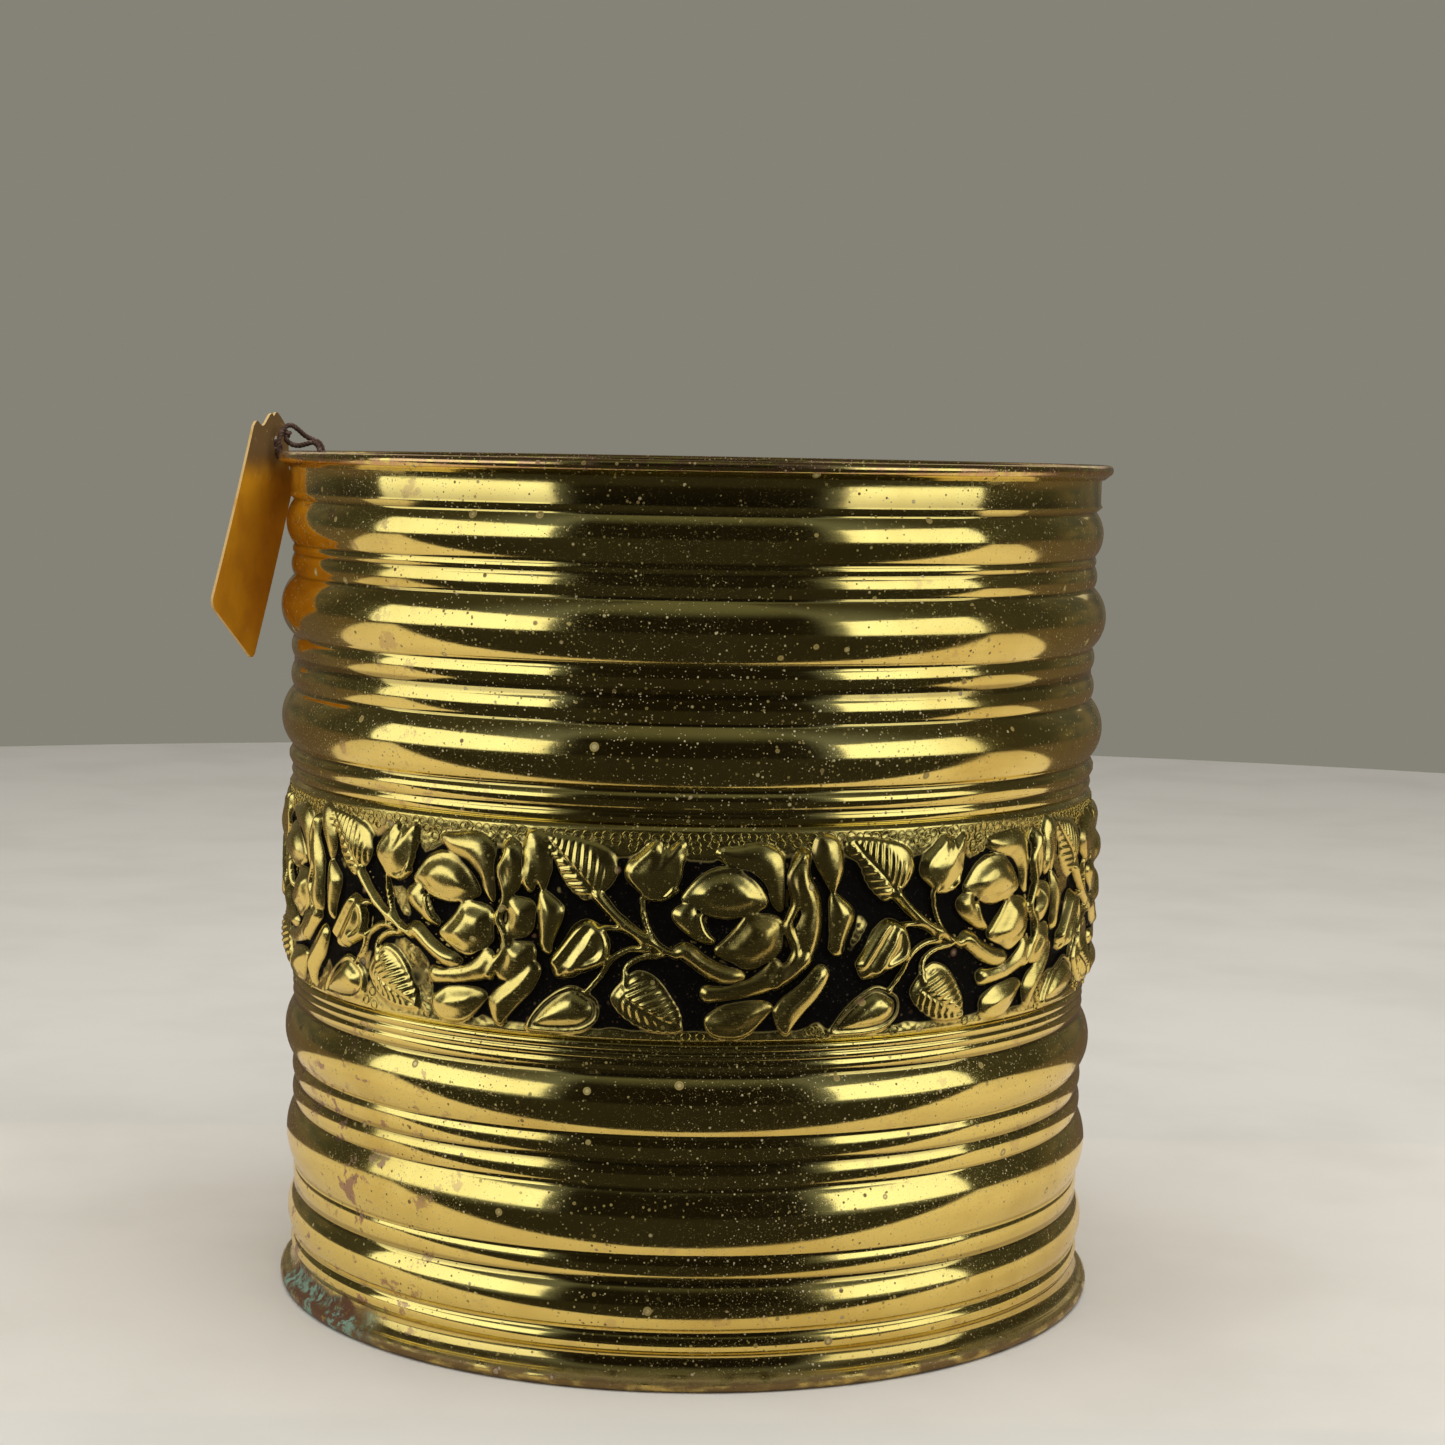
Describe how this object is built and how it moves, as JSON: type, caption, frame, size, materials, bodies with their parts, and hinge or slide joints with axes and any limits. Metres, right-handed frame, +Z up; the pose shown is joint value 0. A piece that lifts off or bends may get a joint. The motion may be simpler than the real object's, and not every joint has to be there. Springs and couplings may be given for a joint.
{
  "type": "wastebasket",
  "caption": "Round embossed brass wastebasket with rolled rim and foot, swaged ribs, a rose band and a card swing tag on twine over its rim.",
  "frame": {"origin": "centre of the foot ring, on the surface that the basket stands on", "axes": "+Z up along the drum's axis, -Y towards the front, -X towards the side that the tag hangs on"},
  "size_m": [0.2757, 0.261, 0.2723],
  "materials": {
    "brass": "polished, tarnished in the hollows",
    "pan_brass": "dull, scratched",
    "steel_wire": "drawn",
    "solder": "dull tin-lead grey",
    "card": "matt mustard card",
    "twine": "waxed"
  },
  "bodies": {
    "basket": {"drum_wall": "brass", "rim_wire": "steel_wire", "foot_wire": "steel_wire", "seam_solder": "solder", "bottom_pan": "pan_brass", "pan_solder": "solder", "tag_twine": "twine", "twine_knot": "twine", "tag_knot": "twine"},
    "tag": {"swing_tag": "card"}
  },
  "joints": [
    {"name": "tag_swing", "type": "hinge", "parent": "basket", "child": "tag", "pos_m": [-0.13366, 0.00616, 0.26231], "axis": [0.9742, -0.2258, 0], "range_deg": [-32, 92]}
  ]
}
